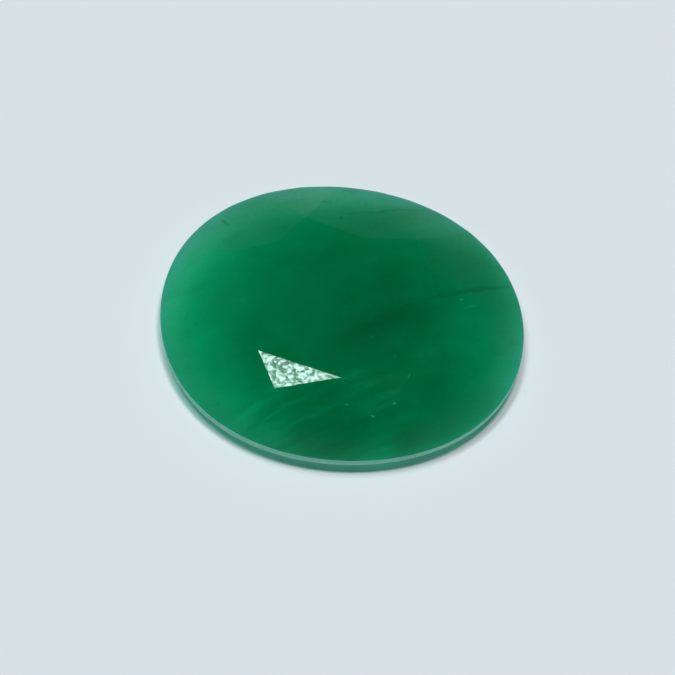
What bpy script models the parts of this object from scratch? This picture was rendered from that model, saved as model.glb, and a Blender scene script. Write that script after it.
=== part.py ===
"""An oval emerald with a brilliant cut, lying on its flat bottom facet: one solid, in metres, +Z up.

The origin is on the resting surface, under the middle of the stone, and +X runs along its length. The stone is
made as a cutter makes it. A blank gets the oval outline of the girdle, and then each facet is one flat cut. The
crown has the table, 8 stars, 8 kite-shaped mains and fans of 4 narrow facets between the mains, whose feet keep the
girdle's edge nearly level. The pavilion has 8 mains, fans of 4 narrow facets and a broad flat bottom.
"""
import math
from collections import namedtuple

import bmesh
import bpy
import numpy as np

MM = 0.001  # The shape is worked out in millimetres and scaled to metres at the end.

# Outline of the girdle, seen from above
LENGTH = 13.5
WIDTH = 11.1
PEAR_SHARE = 0.005  # makes the two ends differ, as a share of the radius
SQUARE_SHARE = 0.008  # fills out the four shoulders, as a share of the radius
SQUARE_DIRECTION = math.radians(54.7)
OUTLINE_SIDES = 144

# Heights above the resting surface
TABLE_HEIGHT = 2.45
GIRDLE_TOP = 1.1
PAVILION_BREAK_HEIGHT = 0.34

# The girdle band is thickest towards one side of the stone.
GIRDLE_THICKNESS = 0.34
GIRDLE_THICKNESS_CHANGE = 0.1
GIRDLE_THICK_DIRECTION = math.radians(215)

# For each main facet: the direction of its foot on the girdle and of the table corner above it, in degrees, how far
# that corner reaches as a share of the stone's radius, and the slope of the star between it and the next main.
# A hand-cut stone is a little uneven. With even spacing the mains would be at 0, 39, 90 and 141 degrees, and so on.
Main = namedtuple("Main", "foot corner reach star")
MAINS = (
    Main(foot=2, corner=2, reach=0.555, star=14),
    Main(foot=38, corner=38, reach=0.57, star=14),
    Main(foot=87, corner=87, reach=0.53, star=13),
    Main(foot=142, corner=142, reach=0.56, star=14),
    Main(foot=178, corner=178, reach=0.56, star=13),
    Main(foot=224, corner=221.3, reach=0.562, star=13),
    Main(foot=278, corner=280.3, reach=0.511, star=17),
    Main(foot=323, corner=324.9, reach=0.584, star=14),
)
FAN_FACETS = 4  # narrow facets between one main and the next
BOTTOM_REACH = 0.62  # the bottom facet's corners, as a share of the stone's radius

TOUCH = 0.0001  # a corner this close to a cut lies on it
UPRIGHT = 0.01  # the sides of the girdle band lean less than this, and every facet leans more
UP = np.array((0.0, 0.0, 1.0))


def clear_scene():
    """Removes whatever objects the file starts with."""
    for thing in list(bpy.data.objects):
        bpy.data.objects.remove(thing)


def oval(turns):
    """Points at angles round a unit circle that is swollen a little three and four times round."""
    swell = 1 + PEAR_SHARE * np.cos(3 * turns) + SQUARE_SHARE * np.cos(4 * (turns - SQUARE_DIRECTION))
    return np.stack((swell * np.cos(turns), swell * np.sin(turns)), axis=-1)


def girdle_point(turn, height):
    """The point of the girdle at one angle round the oval and one height, in a box of the stone's size."""
    whole = oval(np.linspace(0, 2 * math.pi, OUTLINE_SIDES, endpoint=False))
    low, high = whole.min(axis=0), whole.max(axis=0)
    x, y = (oval(turn) - (low + high) / 2) * (LENGTH, WIDTH) / (high - low)
    return np.array((x, y, height))


def oval_turn(degrees):
    """The angle round the oval whose point lies in a direction from the middle."""
    direction = math.radians(degrees)
    return math.atan2(LENGTH * math.sin(direction), WIDTH * math.cos(direction))


def inner_point(turn, reach, height):
    """A point part of the way from the stone's upright axis to the girdle."""
    point = girdle_point(turn, height)
    point[:2] *= reach
    return point


def girdle_bottom(turn):
    """The height of the girdle band's lower edge."""
    x, y, _ = girdle_point(turn, 0)
    from_thick_side = math.atan2(y, x) - GIRDLE_THICK_DIRECTION
    return GIRDLE_TOP - GIRDLE_THICKNESS - GIRDLE_THICKNESS_CHANGE * math.cos(from_thick_side)


def cut_through(a, b, c):
    """The flat cut through three points, as a point and a normal that leans out of the stone."""
    normal = np.cross(b - a, c - a)
    normal /= np.linalg.norm(normal)
    middle = np.array((0.0, 0.0, GIRDLE_TOP))
    if normal @ (a - middle) < 0:
        normal = -normal
    return a, normal


def main_cut(turn, inner):
    """The main facet that runs from an inner point down or up to the girdle and lies level along it there."""
    height = GIRDLE_TOP if inner[2] > GIRDLE_TOP else girdle_bottom(turn)
    foot = girdle_point(turn, height)
    along = girdle_point(turn + 0.01, height) - girdle_point(turn - 0.01, height)
    return cut_through(inner, foot, foot + along)


def star_cut(corner, next_corner, slope):
    """The star facet that falls away from one side of the table."""
    outward = np.cross(next_corner - corner, UP)
    outward /= np.linalg.norm(outward)
    return corner, outward * math.sin(slope) + UP * math.cos(slope)


def meeting_point(*cuts):
    """The point that three cuts share."""
    normals = np.array([normal for _, normal in cuts])
    offsets = np.array([normal @ point for point, normal in cuts])
    return np.linalg.solve(normals, offsets)


def pairs(items):
    """Each item with the next one round the stone."""
    return zip(items, items[1:] + items[:1])


def fan_cuts(turn, next_turn, peak, edge_height):
    """The fan of narrow facets between two mains, from the peak where those meet to the girdle."""
    turns = turn + (next_turn - turn) % (2 * math.pi) * np.linspace(0, 1, FAN_FACETS + 1)
    feet = [girdle_point(foot_turn, edge_height(foot_turn)) for foot_turn in turns]
    return [cut_through(peak, foot, next_foot) for foot, next_foot in zip(feet, feet[1:])]


def crown_cuts():
    """All cuts above the girdle but the table, which is the top of the blank."""
    feet = [oval_turn(main.foot) for main in MAINS]
    corners = [inner_point(oval_turn(main.corner), main.reach, TABLE_HEIGHT) for main in MAINS]
    mains = [main_cut(foot, corner) for foot, corner in zip(feet, corners)]
    slopes = [math.radians(main.star) for main in MAINS]
    stars = [star_cut(corner, after, slope) for (corner, after), slope in zip(pairs(corners), slopes)]
    cuts = mains + stars
    for (foot, next_foot), (main, next_main), star in zip(pairs(feet), pairs(mains), stars):
        peak = meeting_point(main, next_main, star)
        cuts += fan_cuts(foot, next_foot, peak, lambda _: GIRDLE_TOP)
    return cuts


def pavilion_cuts():
    """All cuts below the girdle but the bottom, which is the foot of the blank."""
    feet = [oval_turn(main.foot) for main in MAINS]
    mains = [main_cut(foot, inner_point(foot, BOTTOM_REACH, 0)) for foot in feet]
    break_level = (UP * PAVILION_BREAK_HEIGHT, UP)
    cuts = list(mains)
    for (foot, next_foot), (main, next_main) in zip(pairs(feet), pairs(mains)):
        peak = meeting_point(main, next_main, break_level)
        cuts += fan_cuts(foot, next_foot, peak, girdle_bottom)
    return cuts


def blank():
    """The oval blank: a cylinder whose rim is moved out to the outline."""
    stone = bmesh.new()
    bmesh.ops.create_cone(stone, cap_ends=True, segments=OUTLINE_SIDES, radius1=1, radius2=1, depth=1)
    for corner in stone.verts:
        turn = math.atan2(corner.co.y, corner.co.x)
        height = TABLE_HEIGHT if corner.co.z > 0 else 0
        corner.co = girdle_point(turn, height)
    return stone


def grind(stone, cut):
    """Takes away what lies outside one cut and closes the stone with the new facet."""
    point, normal = cut
    everything = stone.verts[:] + stone.edges[:] + stone.faces[:]
    bmesh.ops.bisect_plane(
        stone, geom=everything, dist=TOUCH, plane_co=point, plane_no=normal, clear_outer=True
    )
    rim = [edge for edge in stone.edges if edge.is_boundary]
    bmesh.ops.holes_fill(stone, edges=rim)


def set_sharp_edges(stone):
    """Every facet gets sharp edges. Only the sides of the girdle band shade into one round wall."""
    for edge in stone.edges:
        edge.smooth = all(abs(face.normal.z) < UPRIGHT for face in edge.link_faces)
    for face in stone.faces:
        face.smooth = True


def emerald_material():
    """Polished emerald: deep green, glossy, and see-through."""
    material = bpy.data.materials.new("emerald")
    material.use_nodes = True
    shader = material.node_tree.nodes["Principled BSDF"]
    shader.inputs["Base Color"].default_value = (0.01, 0.19, 0.08, 1)
    shader.inputs["Metallic"].default_value = 0
    shader.inputs["Roughness"].default_value = 0.06
    shader.inputs["IOR"].default_value = 1.577
    shader.inputs["Transmission Weight"].default_value = 0.3
    return material


def make_stone(collection):
    """Cuts the stone and puts it in its collection."""
    stone = blank()
    for cut in crown_cuts() + pavilion_cuts():
        grind(stone, cut)
    bmesh.ops.scale(stone, vec=(MM, MM, MM), verts=stone.verts)
    bmesh.ops.recalc_face_normals(stone, faces=stone.faces)
    set_sharp_edges(stone)
    mesh = bpy.data.meshes.new("stone")
    stone.to_mesh(mesh)
    stone.free()
    mesh.materials.append(emerald_material())
    collection.objects.link(bpy.data.objects.new("stone", mesh))


def main():
    """Builds the emerald."""
    clear_scene()
    collection = bpy.data.collections.new("oval_cut_emerald")
    bpy.context.scene.collection.children.link(collection)
    make_stone(collection)


main()
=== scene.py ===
"""The looks of a loose oval emerald: cloudy green stone, ground and polished flat, on a plain pale floor."""
import math

import bmesh
import bpy
import numpy as np
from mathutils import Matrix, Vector


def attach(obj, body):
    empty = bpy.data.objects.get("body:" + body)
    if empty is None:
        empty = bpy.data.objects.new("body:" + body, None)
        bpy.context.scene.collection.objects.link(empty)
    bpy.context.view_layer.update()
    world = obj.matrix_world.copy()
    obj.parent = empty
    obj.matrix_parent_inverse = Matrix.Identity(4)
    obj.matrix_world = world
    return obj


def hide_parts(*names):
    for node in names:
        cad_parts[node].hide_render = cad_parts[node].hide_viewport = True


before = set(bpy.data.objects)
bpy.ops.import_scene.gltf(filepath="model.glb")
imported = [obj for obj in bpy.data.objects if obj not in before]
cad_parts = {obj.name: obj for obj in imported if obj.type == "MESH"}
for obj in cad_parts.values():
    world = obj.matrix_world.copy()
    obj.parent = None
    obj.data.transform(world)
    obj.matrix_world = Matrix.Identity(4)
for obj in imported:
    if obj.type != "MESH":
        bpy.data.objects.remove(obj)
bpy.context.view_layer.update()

MM = 0.001

# The camera's height above the floor and its turn, in degrees, about as the photo's camera stood, and its scale at
# the girdle, whose middle shows a little right of and above the middle of the picture
CAMERA_ELEVATION = 65
CAMERA_AZIMUTH = 11.2
CAMERA_DISTANCE = 220 * MM
CAMERA_CLIP = 10 * MM
PIXELS_PER_MM = 27.13
PICTURE_SIZE = 675
SENSOR_WIDTH = 36
GIRDLE_MIDDLE_PIXEL = (342.0, 322.8)
GIRDLE_HEIGHT = 1.1 * MM

# The lamps: name, direction from the stone, half the angle that each fills in degrees, power in watts, and colour
LAMP_DISTANCE = 300 * MM
COOL_WHITE = "#dafff9"
WARM_WHITE = "#fff2f5"
LAMPS = (
    ("cool_light", (-0.14, -0.04, 0.989), 6, 0.3, COOL_WHITE),
    ("warm_light", (0.125, -0.01, 0.992), 4.4, 0.39, WARM_WHITE),
    ("far_light", (-0.05, 0.13, 0.99), 4.4, 0.17, WARM_WHITE),
)

# The sky: its strength at the horizon on the far and the near side, how far to each side those are reached, and how
# high it has faded to black, all as parts of a direction of length 1
SKY = "#e6eefa"
SKY_FAR_STRENGTH, SKY_NEAR_STRENGTH = 0.012, 0.35
SKY_FAR_SIDE, SKY_NEAR_SIDE = 0.2, -0.6
SKY_BLACK_HEIGHT = 0.65

FLOOR = "#e6ecf1"
FLOOR_SIZE = 600 * MM
FLOOR_GAP = 0.02 * MM

# The shape: wear on the facet edges, which is less than a pixel wide, and what tells facets and girdle apart
EDGE_WEAR = 0.025 * MM
MEETING = 0.01 * MM  # corners closer than this are one
ONE_FACET = math.radians(0.6)  # triangles that differ by less than this are one facet
WORN_EDGE = math.radians(3.4)  # edges that turn by more than this are worn
UPRIGHT = 0.01  # the girdle's faces lean less than this, as the upward part of their normal

# Emerald: its IOR, how far red, green and blue light wander in it as parts of a length, and what it absorbs
EMERALD_IOR = 1.577
WANDER = (0.3, 1.0, 0.6)
WANDER_LENGTH = 3 * MM
ABSORBED_TO = "#10d890"
ABSORPTION = 700.0  # for each metre, so a millimetre counts for 0.7
SHADOW = "#769794"  # what the stone lets through to the floor

# Colours of the emerald before its scattering and absorption, which darken them and take out most of the red
DEEP = "#00925b"
BODY = "#15f9bd"
MILKY = "#bcaee7"
# The outermost rim, painted greyer and paler as light coming through the thin edge
LIT_RIM = "#616193"
SHADE = "#006a3a"
FLECK_GLINT = "#38f4ac"
GROUND = "#a4ffd6"

# How the green pales outwards, as ovals seen from above: middle and half sizes in millimetres, the shares of those
# sizes where the next colour begins and would be full, that colour and its strength. The paling is partly the
# stone's milkiness and partly painted light, the brightness of light coming through the thin rim, greyest at the
# outermost edge. The two large ovals lie towards the near side, so the green stays deep further out there and the
# far rim is painted paler.
PALE_AND_LIT_RIM_ZONES = (
    ((0.55, -1.33), (8.54, 9.21), (0.39, 1.14), BODY, 1.0),
    ((0.11, -1.55), (8.64, 8.38), (0.61, 1.5), MILKY, 1.0),
    ((0, 0), (6.75, 5.55), (0.81, 1.02), LIT_RIM, 0.18),
)

# What lies in the stone: middle and half sizes in millimetres, turn in degrees, colour and strength
CLOUDS = (
    ((-3.2, -3.8), (4.4, 2.1), -41, BODY, 0.21),
    ((-2.9, -0.2), (3.1, 1.6), 25, BODY, 0.07),
    ((4.9, 2.3), (4.2, 2.4), -63, SHADE, 0.8),
    ((-4.3, 4.4), (3.0, 4.5), 0, SHADE, 0.24),
    ((1.6, -0.2), (3.1, 2.5), 74, SHADE, 0.45),
    ((2.3, -5.0), (1.9, 0.7), 58, BODY, 0.2),
    ((5.0, 1.8), (4.4, 2.3), 95, BODY, 0.2),
    ((1.9, 4.8), (4.3, 0.9), 30, SHADE, 0.25),
    ((-3.8, -0.9), (1.5, 0.7), 51, BODY, 0.07),
    ((1.3, -0.5), (3.2, 0.5), 33, SHADE, 0.32),
    ((-2.4, -4.8), (1.4, 0.5), -20, BODY, 0.15),
)
CRACKS = (
    ((4.75, 1.98), (2.1, 0.15), 33, SHADE, 0.55),
    ((3.3, 1.05), (2.0, 0.13), 30, SHADE, 0.35),
    ((0.7, 4.55), (2.4, 0.1), 21, SHADE, 0.38),
    ((-5.02, 3.05), (0.36, 0.12), -36, SHADE, 0.6),
    ((-1.54, 4.5), (0.1, 0.08), 0, SHADE, 0.5),
    ((-0.79, 3.78), (0.12, 0.1), 30, SHADE, 0.6),
    ((-5.2, -1.41), (0.1, 0.08), 0, SHADE, 0.35),
    ((-3.8, -4.2), (0.14, 0.08), 0, SHADE, 0.35),
    ((4.57, 1.1), (0.5, 0.05), 37, BODY, 0.25),
    ((2.17, -3.15), (0.4, 0.07), 13, BODY, 0.15),
    ((-1.85, -4.5), (0.9, 0.09), 38, BODY, 0.2),
)
# Flecks where cracks reach the surface, painted pale as glints of light off their pits
GLINTING_FLECKS = (
    ((0.89, -3.62), (0.08, 0.06), 0, FLECK_GLINT, 0.7),
    ((1.9, -3.81), (0.1, 0.07), 0, FLECK_GLINT, 0.7),
    ((2.61, -3.27), (0.09, 0.08), 40, FLECK_GLINT, 0.7),
    ((2.92, -2.23), (0.05, 0.16), 0, FLECK_GLINT, 0.3),
    ((4.23, 1.27), (0.12, 0.06), 30, FLECK_GLINT, 0.4),
    ((1.65, 5.05), (0.05, 0.12), 0, FLECK_GLINT, 0.5),
    ((2.28, -1.59), (0.06, 0.06), 0, FLECK_GLINT, 0.2),
    ((1.3, -0.96), (0.06, 0.06), 0, FLECK_GLINT, 0.2),
)

# How unevenly each of those lies: noise cells in a millimetre, and how far they push a place, in millimetres
CLOUD_WARP = (0.35, 0.7)
CRACK_WARP = (1.6, 0.25)
FLECK_WARP = (7.0, 0.15)

# Streaks on the near side and mottling all over: the noise cells' turn in degrees and sizes in millimetres, and the
# strengths of the paler and the darker green
STREAK_TURN, STREAK_SIZE, STREAK_STRENGTHS = 32, (2.6, 0.28, 1.2), (0.13, 0.3)
MOTTLE_TURN, MOTTLE_SIZE, MOTTLE_STRENGTHS = 20, (1.3, 0.8, 1.0), (0.07, 0.17)
STREAKED_MIDDLE, STREAKED_SIZE = (0.5, -5.0), (6.5, 4.5)

# The polish: pits about a seventh of a millimetre across, four pixels, which dull it where their noise is low, and
# its strength there and where it is whole. The same noise raises it by a few thousandths of a millimetre.
PITS_PER_MM = 6.5
PIT_NOISE = (0.44, 0.6)
POLISH_STRENGTH = (0.13, 0.64)
PIT_DEPTH = 0.003 * MM


def linear(hex_colour):
    """An sRGB hex colour as a linear RGBA value."""
    shares = [int(hex_colour[i:i + 2], 16) / 255 for i in (1, 3, 5)]
    return (*(s / 12.92 if s <= 0.04045 else ((s + 0.055) / 1.055) ** 2.4 for s in shares), 1.0)


def add(tree, kind, links=None, values=None, **settings):
    """Adds a node with its settings. links and values fill its inputs, by name or by number."""
    node = tree.nodes.new(kind)
    for name, setting in settings.items():
        setattr(node, name, setting)
    for name, value in (values or {}).items():
        node.inputs[name].default_value = value
    for name, socket in (links or {}).items():
        tree.links.new(socket, node.inputs[name])
    return node


def camera_axes():
    """The camera's right, up and back directions."""
    turn, rise = math.radians(CAMERA_AZIMUTH), math.radians(CAMERA_ELEVATION)
    back = Vector((math.sin(turn) * math.cos(rise), -math.cos(turn) * math.cos(rise), math.sin(rise)))
    right = Vector((math.cos(turn), math.sin(turn), 0))
    return right, back.cross(right), back


def make_camera():
    """A long lens, aimed so that the girdle's middle falls on its pixel in the photo."""
    right, up, back = camera_axes()
    off_right = (GIRDLE_MIDDLE_PIXEL[0] - PICTURE_SIZE / 2) / PIXELS_PER_MM * MM
    off_down = (GIRDLE_MIDDLE_PIXEL[1] - PICTURE_SIZE / 2) / PIXELS_PER_MM * MM
    aim = Vector((0, 0, GIRDLE_HEIGHT)) - right * off_right + up * off_down
    data = bpy.data.cameras.new("camera")
    data.sensor_width = SENSOR_WIDTH
    data.lens = PIXELS_PER_MM * SENSOR_WIDTH / PICTURE_SIZE * CAMERA_DISTANCE / MM
    data.clip_start = CAMERA_CLIP
    camera = bpy.data.objects.new("camera", data)
    camera.location = aim + back * CAMERA_DISTANCE
    camera.rotation_euler = back.to_track_quat("Z", "Y").to_euler()
    bpy.context.scene.collection.objects.link(camera)
    bpy.context.scene.camera = camera


def lamp(name, direction, spread, power, colour):
    """A round soft light that looks at the stone."""
    data = bpy.data.lights.new(name, "AREA")
    data.color = linear(colour)[:3]
    data.shape = "DISK"
    data.size = 2 * LAMP_DISTANCE * math.tan(math.radians(spread))
    data.energy = power
    light = bpy.data.objects.new(name, data)
    away = Vector(direction).normalized()
    light.location = away * LAMP_DISTANCE
    light.rotation_euler = away.to_track_quat("Z", "Y").to_euler()
    bpy.context.scene.collection.objects.link(light)


def make_lights():
    """Three soft lights near the zenith, and a sky that is dark overhead and brighter low on the near side.

    The cool light stands where one star facet mirrors it to the camera. No facet mirrors the other two to it, and
    they are as much too warm, so that the light is white where all three fall."""
    for settings in LAMPS:
        lamp(*settings)
    world = bpy.data.worlds.new("studio")
    world.use_nodes = True
    tree = world.node_tree
    background = tree.nodes["Background"]
    background.inputs["Color"].default_value = linear(SKY)
    looking = add(tree, "ShaderNodeTexCoord")
    parts = add(tree, "ShaderNodeSeparateXYZ", {"Vector": looking.outputs["Generated"]})
    horizon = add(
        tree, "ShaderNodeMapRange", {"Value": parts.outputs["Y"]},
        {"From Min": SKY_FAR_SIDE, "From Max": SKY_NEAR_SIDE,
         "To Min": SKY_FAR_STRENGTH, "To Max": SKY_NEAR_STRENGTH},
    )
    strength = add(
        tree, "ShaderNodeMapRange", {"Value": parts.outputs["Z"], "To Min": horizon.outputs["Result"]},
        {"From Max": SKY_BLACK_HEIGHT, "To Max": 0.0},
    )
    tree.links.new(strength.outputs["Result"], background.inputs["Strength"])
    bpy.context.scene.world = world


def make_floor():
    """A plain pale floor, a hair below the stone."""
    bpy.ops.mesh.primitive_plane_add(size=FLOOR_SIZE, location=(0, 0, -FLOOR_GAP))
    floor = bpy.context.object
    floor.name = "floor"
    material = bpy.data.materials.new("pale_floor")
    material.use_nodes = True
    shader = material.node_tree.nodes["Principled BSDF"]
    shader.inputs["Base Color"].default_value = linear(FLOOR)
    shader.inputs["Roughness"].default_value = 0.9
    shader.inputs["Specular IOR Level"].default_value = 0.1
    floor.data.materials.append(material)


def away_from(tree, place, middle, size, turn=0):
    """How far a place is from a middle, seen from above, as a share of an oval's half sizes: the length of its
    offset, turned back and divided by those sizes. Its height is divided away."""
    local = add(
        tree, "ShaderNodeMapping", {"Vector": place}, vector_type="TEXTURE",
        values={"Location": (*middle, 0), "Rotation": (0, 0, math.radians(turn)), "Scale": (*size, 1e6)},
    )
    away = add(tree, "ShaderNodeVectorMath", {0: local.outputs[0]}, operation="LENGTH")
    return away.outputs["Value"]


def step(tree, value, low, high):
    """A smooth step from 0 at the low value to 1 at the high one, which may be the smaller of the two."""
    curve = add(
        tree, "ShaderNodeMapRange", {"Value": value}, {"From Min": low, "From Max": high},
        interpolation_type="SMOOTHSTEP",
    )
    return curve.outputs["Result"]


def warped(tree, place, per_mm, reach):
    """The place pushed about by smooth noise, so that what is drawn on it gets uneven edges."""
    noise = add(tree, "ShaderNodeTexNoise", {"Vector": place}, {"Scale": per_mm, "Detail": 2.0})
    centred = add(
        tree, "ShaderNodeVectorMath", {0: noise.outputs["Color"]}, {1: (0.5, 0.5, 0.5)}, operation="SUBTRACT"
    )
    push = add(
        tree, "ShaderNodeVectorMath", {0: centred.outputs[0], 2: place}, {1: (reach, reach, reach)},
        operation="MULTIPLY_ADD",
    )
    return push.outputs[0]


def tint(tree, under, colour, share, strength):
    """The colour under a share of another one."""
    scaled = add(tree, "ShaderNodeMath", {0: share}, {1: strength}, operation="MULTIPLY", use_clamp=True)
    mix = add(tree, "ShaderNodeMix", {0: scaled.outputs[0]}, {7: linear(colour)}, data_type="RGBA")
    if isinstance(under, str):
        mix.inputs[6].default_value = linear(under)
    else:
        tree.links.new(under, mix.inputs[6])
    return mix.outputs[2]


def marked(tree, under, place, marks):
    """The colour under soft ovals, each at its full strength in its middle and gone at its edge."""
    for middle, size, turn, colour, strength in marks:
        share = step(tree, away_from(tree, place, middle, size, turn), 1, 0)
        under = tint(tree, under, colour, share, strength)
    return under


def drawn_out(tree, place, turn, size):
    """Fine uneven noise whose cells are drawn out along one direction."""
    along = add(
        tree, "ShaderNodeMapping", {"Vector": place}, vector_type="TEXTURE",
        values={"Rotation": (0, 0, math.radians(turn)), "Scale": size},
    )
    noise = add(tree, "ShaderNodeTexNoise", {"Vector": along.outputs[0]}, {"Scale": 1.0, "Detail": 3.0})
    return noise.outputs[0]


def grained(tree, under, noise, strengths):
    """The colour under a paler green where a noise is high and a darker one where it is low."""
    paler, darker = strengths
    under = tint(tree, under, BODY, step(tree, noise, 0.5, 0.75), paler)
    return tint(tree, under, SHADE, step(tree, noise, 0.5, 0.25), darker)


def stone_colour(tree, place, girdle):
    """The emerald's colour before its scattering and absorption, from the deep middle out to the ground girdle, with
    painted light paling the thin rim and painted glints on the flecks.
    """
    cloudy = warped(tree, place, *CLOUD_WARP)
    wavy = warped(tree, place, *CRACK_WARP)
    ragged = warped(tree, place, *FLECK_WARP)
    colour = DEEP
    for middle, size, (low, high), paler, strength in PALE_AND_LIT_RIM_ZONES:
        share = step(tree, away_from(tree, cloudy, middle, size), low, high)
        colour = tint(tree, colour, paler, share, strength)
    colour = marked(tree, colour, cloudy, CLOUDS)
    streaked = step(tree, away_from(tree, place, STREAKED_MIDDLE, STREAKED_SIZE), 1, 0.3)
    streaks = drawn_out(tree, wavy, STREAK_TURN, STREAK_SIZE)
    kept = add(tree, "ShaderNodeMix", {0: streaked, 3: streaks}, {2: 0.5}, data_type="FLOAT")
    colour = grained(tree, colour, kept.outputs[0], STREAK_STRENGTHS)
    mottling = drawn_out(tree, place, MOTTLE_TURN, MOTTLE_SIZE)
    colour = grained(tree, colour, mottling, MOTTLE_STRENGTHS)
    colour = marked(tree, colour, wavy, CRACKS)
    colour = marked(tree, colour, ragged, GLINTING_FLECKS)
    return tint(tree, colour, GROUND, girdle, 0.9)


def emerald():
    """Natural emerald, ground flat and polished.

    Emerald is green beryl. Fine inclusions cloud this one, so light wanders in it and comes out green: deep green in
    the middle, where the stone is thick, and paler and milky at the thin rim, whose paling the colour also paints as
    light coming through. Veils, streaks and healed cracks run through it, and tiny flecks show where they reach the
    surface, painted pale as glints of light off them."""
    material = bpy.data.materials.new("cloudy_emerald")
    material.use_nodes = True
    tree = material.node_tree
    shader = tree.nodes["Principled BSDF"]
    where = add(tree, "ShaderNodeTexCoord")
    place = add(
        tree, "ShaderNodeVectorMath", {0: where.outputs["Object"]}, {1: (1 / MM,) * 3}, operation="MULTIPLY"
    ).outputs[0]
    girdle = add(tree, "ShaderNodeAttribute", attribute_name="girdle").outputs["Fac"]

    # The cloudy body scatters and blurs what comes through, and mirrors nothing itself.
    tree.links.new(stone_colour(tree, place, girdle), shader.inputs["Base Color"])
    shader.inputs["Roughness"].default_value = 0.5
    shader.inputs["IOR"].default_value = EMERALD_IOR
    shader.inputs["Specular Tint"].default_value = (0, 0, 0, 1)
    shader.inputs["Transmission Weight"].default_value = 0.5
    shader.inputs["Subsurface Weight"].default_value = 1.0
    shader.inputs["Subsurface Radius"].default_value = WANDER
    shader.inputs["Subsurface Scale"].default_value = WANDER_LENGTH

    # The polish is a coat, so a facet that mirrors a light glitters unevenly. The girdle, which is only ground, has
    # none.
    shader.inputs["Coat IOR"].default_value = EMERALD_IOR
    shader.inputs["Coat Roughness"].default_value = 0.06
    pits = add(
        tree, "ShaderNodeTexNoise", {"Vector": place}, {"Scale": PITS_PER_MM, "Detail": 3.0, "Roughness": 0.65}
    )
    pitted = add(
        tree, "ShaderNodeMapRange", {"Value": pits.outputs[0]},
        {"From Min": PIT_NOISE[0], "From Max": PIT_NOISE[1],
         "To Min": POLISH_STRENGTH[0], "To Max": POLISH_STRENGTH[1]},
        interpolation_type="SMOOTHSTEP",
    )
    polish = add(tree, "ShaderNodeMix", {0: girdle, 2: pitted.outputs[0]}, {3: 0.0}, data_type="FLOAT")
    tree.links.new(polish.outputs[0], shader.inputs["Coat Weight"])
    relief = add(tree, "ShaderNodeBump", {"Height": pits.outputs[0]}, {"Strength": 1.0, "Distance": PIT_DEPTH})
    tree.links.new(relief.outputs[0], shader.inputs["Normal"])
    tree.links.new(relief.outputs[0], shader.inputs["Coat Normal"])

    # Light from the lamps passes to the floor with the stone's tint, so its shadow is green and not black.
    ray = add(tree, "ShaderNodeLightPath")
    through = add(tree, "ShaderNodeBsdfTransparent", values={"Color": linear(SHADOW)})
    surface = add(
        tree, "ShaderNodeMixShader", {0: ray.outputs["Is Shadow Ray"], 1: shader.outputs[0], 2: through.outputs[0]}
    )
    absorb = add(
        tree, "ShaderNodeVolumeAbsorption", values={"Color": linear(ABSORBED_TO), "Density": ABSORPTION}
    )
    output = tree.nodes["Material Output"]
    tree.links.new(surface.outputs[0], output.inputs["Surface"])
    tree.links.new(absorb.outputs[0], output.inputs["Volume"])
    return material


def dress_stone():
    """The cut stone with its facet edges a little worn, in place of the crisp solid.

    It is a merged copy of the solid, whose flat facets are put together again from their triangles. The band
    round the girdle is marked, because it is ground and not polished."""
    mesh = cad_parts["stone"].data.copy()
    mesh.name = "emerald_stone"
    shape = bmesh.new()
    shape.from_mesh(mesh)
    bmesh.ops.remove_doubles(shape, verts=shape.verts, dist=MEETING)
    bmesh.ops.dissolve_limit(shape, angle_limit=ONE_FACET, verts=shape.verts, edges=shape.edges)
    shape.to_mesh(mesh)
    shape.free()
    normals = np.empty(len(mesh.polygons) * 3)
    mesh.polygons.foreach_get("normal", normals)
    upright = np.abs(normals.reshape(-1, 3)[:, 2]) < UPRIGHT
    mesh.attributes.new("girdle", "FLOAT", "FACE").data.foreach_set("value", upright.astype(float))
    mesh.polygons.foreach_set("use_smooth", upright)
    mesh.materials.clear()
    mesh.materials.append(emerald())
    piece = bpy.data.objects.new("emerald_stone", mesh)
    bpy.context.scene.collection.objects.link(piece)
    wear = piece.modifiers.new("worn_edges", "BEVEL")
    wear.width = EDGE_WEAR
    wear.segments = 2
    wear.limit_method = "ANGLE"
    wear.angle_limit = WORN_EDGE
    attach(piece, "root")
    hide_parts("stone")


bpy.context.scene.view_settings.view_transform = "Standard"
make_camera()
make_lights()
make_floor()
dress_stone()
